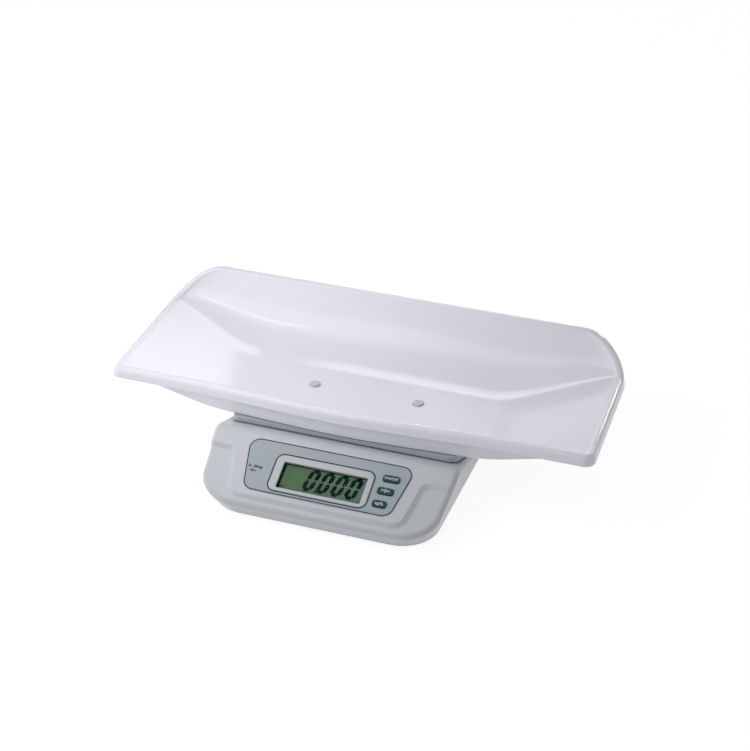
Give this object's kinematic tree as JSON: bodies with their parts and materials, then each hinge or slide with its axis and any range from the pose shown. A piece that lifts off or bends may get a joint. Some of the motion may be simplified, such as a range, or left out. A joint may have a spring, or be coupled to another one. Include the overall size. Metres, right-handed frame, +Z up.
{
  "type": "digital baby scale",
  "caption": "Digital baby weighing scale: long shaped tray with a high back on a load-cell platform, over a low housing with a sloped display panel and keys.",
  "frame": {"origin": "on the table under the middle of the whole scale", "axes": "+X along the tray, +Y from the display to the back, +Z up"},
  "size_m": [0.5508, 0.3081, 0.1259],
  "materials": {
    "tray_plastic": "smooth moulded white, satin to gloss",
    "housing_plastic": "fine matt moulded white",
    "platform_plastic": "matt mid grey",
    "stud_plastic": "satin grey",
    "label_film": "printed film",
    "frame_plastic": "satin light grey",
    "lens_acrylic": "clear",
    "lcd": "satin polariser, green grey",
    "key_rubber": "satin teal",
    "inner_plastic": "natural white moulding",
    "black_plastic": "satin black",
    "board": "green solder mask",
    "foot_rubber": "matt black",
    "strip_rubber": "soft pink grey",
    "silicone": "milky white",
    "lead_jacket": "satin grey",
    "steel": "zinc plated",
    "screw_steel": "zinc plated",
    "cast_aluminium": "milled and clear anodised",
    "contact_metal": "nickel plated",
    "cell_can": "plain sleeve with bright ends"
  },
  "bodies": {
    "base": {"load_cell": "cast_aluminium", "gauge_potting": "silicone", "lower_spacer": "cast_aluminium", "lower_cell_screws": "screw_steel", "chassis_plate": "steel", "chassis_screws": "screw_steel", "overload_screw": "screw_steel", "overload_nut": "screw_steel", "load_cell_lead": "lead_jacket", "lead_plug": "inner_plastic", "top_housing": "housing_plastic", "bottom_cover": "housing_plastic", "housing_screws": "screw_steel", "control_label": "label_film", "window_frame": "frame_plastic", "display_lens": "lens_acrylic", "lcd_glass": "lcd", "lcd_holder": "inner_plastic", "contact_strips": "strip_rubber", "main_board": "board", "board_screws": "screw_steel", "board_chips": "black_plastic", "buzzer": "black_plastic", "battery_contacts": "contact_metal", "switch_1": "black_plastic", "switch_2": "black_plastic", "switch_3": "black_plastic", "foot_front_left": "foot_rubber", "foot_front_right": "foot_rubber", "foot_rear_left": "foot_rubber", "foot_rear_right": "foot_rubber", "battery_1": "cell_can", "battery_2": "cell_can", "battery_3": "cell_can", "battery_4": "cell_can"},
    "platform": {"platform_cover": "platform_plastic", "cover_screws": "screw_steel", "spider_plate": "cast_aluminium", "upper_cell_screws": "screw_steel", "upper_spacer": "cast_aluminium", "stud_left": "stud_plastic", "stud_right": "stud_plastic"},
    "tray": {"tray": "tray_plastic"},
    "battery_door": {"battery_door": "housing_plastic"},
    "button_1": {"key_1": "key_rubber", "plunger_1": "inner_plastic"},
    "button_2": {"key_2": "key_rubber", "plunger_2": "inner_plastic"},
    "button_3": {"key_3": "key_rubber", "plunger_3": "inner_plastic"}
  },
  "joints": [
    {"name": "platform_deflection", "type": "slide", "parent": "base", "child": "platform", "axis": [0, 0, -1], "range_m": [0, 0.0005], "stiffness_N_per_m": 490000, "springref_m": -0.00003, "deforming": ["load_cell"]},
    {"name": "tray_lift", "type": "slide", "parent": "platform", "child": "tray", "axis": [0, 0, 1], "range_m": [0, 0.04]},
    {"name": "battery_door_slide", "type": "slide", "parent": "base", "child": "battery_door", "axis": [0, 1, 0], "range_m": [0, 0.06]},
    {"name": "button_1_press", "type": "slide", "parent": "base", "child": "button_1", "axis": [0, 0.3987, -0.9171], "range_m": [0, 0.0008], "stiffness_N_per_m": 2000, "springref_m": -0.0003},
    {"name": "button_2_press", "type": "slide", "parent": "base", "child": "button_2", "axis": [0, 0.3987, -0.9171], "range_m": [0, 0.0008], "stiffness_N_per_m": 2000, "springref_m": -0.0003},
    {"name": "button_3_press", "type": "slide", "parent": "base", "child": "button_3", "axis": [0, 0.3987, -0.9171], "range_m": [0, 0.0008], "stiffness_N_per_m": 2000, "springref_m": -0.0003}
  ]
}
